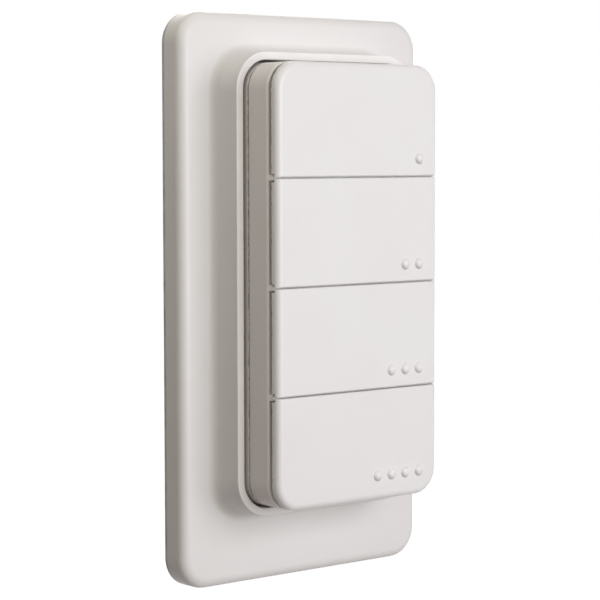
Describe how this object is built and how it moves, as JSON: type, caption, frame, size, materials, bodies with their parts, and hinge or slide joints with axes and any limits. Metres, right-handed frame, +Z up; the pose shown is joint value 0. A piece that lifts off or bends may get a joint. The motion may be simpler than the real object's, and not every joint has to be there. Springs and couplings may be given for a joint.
{
  "type": "wireless remote wall switch",
  "caption": "Wall plate with a raised collar that holds a slim wireless remote with stacked full-width push caps and raised tactile dots.",
  "frame": {"origin": "centre of the wall plate's outline, on the wall plane, which is the back of the adhesive pad", "axes": "+Z up the wall, +Y into the wall (the front faces -Y), +X to the right seen from the front"},
  "size_m": [0.0464, 0.0179, 0.085],
  "materials": {
    "plate_plastic": "satin moulded, fine spark texture",
    "case_plastic": "satin moulded, fine spark texture",
    "cap_plastic": "satin moulded, fine spark texture",
    "keeper_steel": "zinc plated sheet",
    "pad_foam": "closed cell foam",
    "cell_steel": "turned stainless",
    "contact_metal": "nickel plated spring strip",
    "board_laminate": "solder mask",
    "shield_metal": "tin plated can",
    "switch_plastic": "moulded",
    "stem_plastic": "moulded",
    "magnet_metal": "nickel plated",
    "screw_steel": "plated"
  },
  "bodies": {
    "wall_holder": {"wall_plate": "plate_plastic", "keeper_plate": "keeper_steel", "adhesive_pad": "pad_foam"},
    "remote": {"rear_cover": "case_plastic", "front_housing": "case_plastic", "battery_door": "case_plastic", "coin_cell": "cell_steel", "contact_positive": "contact_metal", "contact_negative": "contact_metal", "circuit_board": "board_laminate", "radio_module": "shield_metal", "magnet_top": "magnet_metal", "magnet_bottom": "magnet_metal", "case_screws": "screw_steel", "tact_switch_1": "switch_plastic", "tact_switch_2": "switch_plastic", "tact_switch_3": "switch_plastic", "tact_switch_4": "switch_plastic"},
    "button_1": {"button_cap_1": "cap_plastic", "switch_stem_1": "stem_plastic"},
    "button_2": {"button_cap_2": "cap_plastic", "switch_stem_2": "stem_plastic"},
    "button_3": {"button_cap_3": "cap_plastic", "switch_stem_3": "stem_plastic"},
    "button_4": {"button_cap_4": "cap_plastic", "switch_stem_4": "stem_plastic"}
  },
  "joints": [
    {"name": "remote_pull_off", "type": "slide", "parent": "wall_holder", "child": "remote", "axis": [0, -1, 0], "range_m": [0, 0.02]},
    {"name": "press_1", "type": "slide", "parent": "remote", "child": "button_1", "axis": [0, 1, 0], "range_m": [0, 0.0003], "stiffness_N_per_m": 5000},
    {"name": "press_2", "type": "slide", "parent": "remote", "child": "button_2", "axis": [0, 1, 0], "range_m": [0, 0.0003], "stiffness_N_per_m": 5000},
    {"name": "press_3", "type": "slide", "parent": "remote", "child": "button_3", "axis": [0, 1, 0], "range_m": [0, 0.0003], "stiffness_N_per_m": 5000},
    {"name": "press_4", "type": "slide", "parent": "remote", "child": "button_4", "axis": [0, 1, 0], "range_m": [0, 0.0003], "stiffness_N_per_m": 5000}
  ]
}
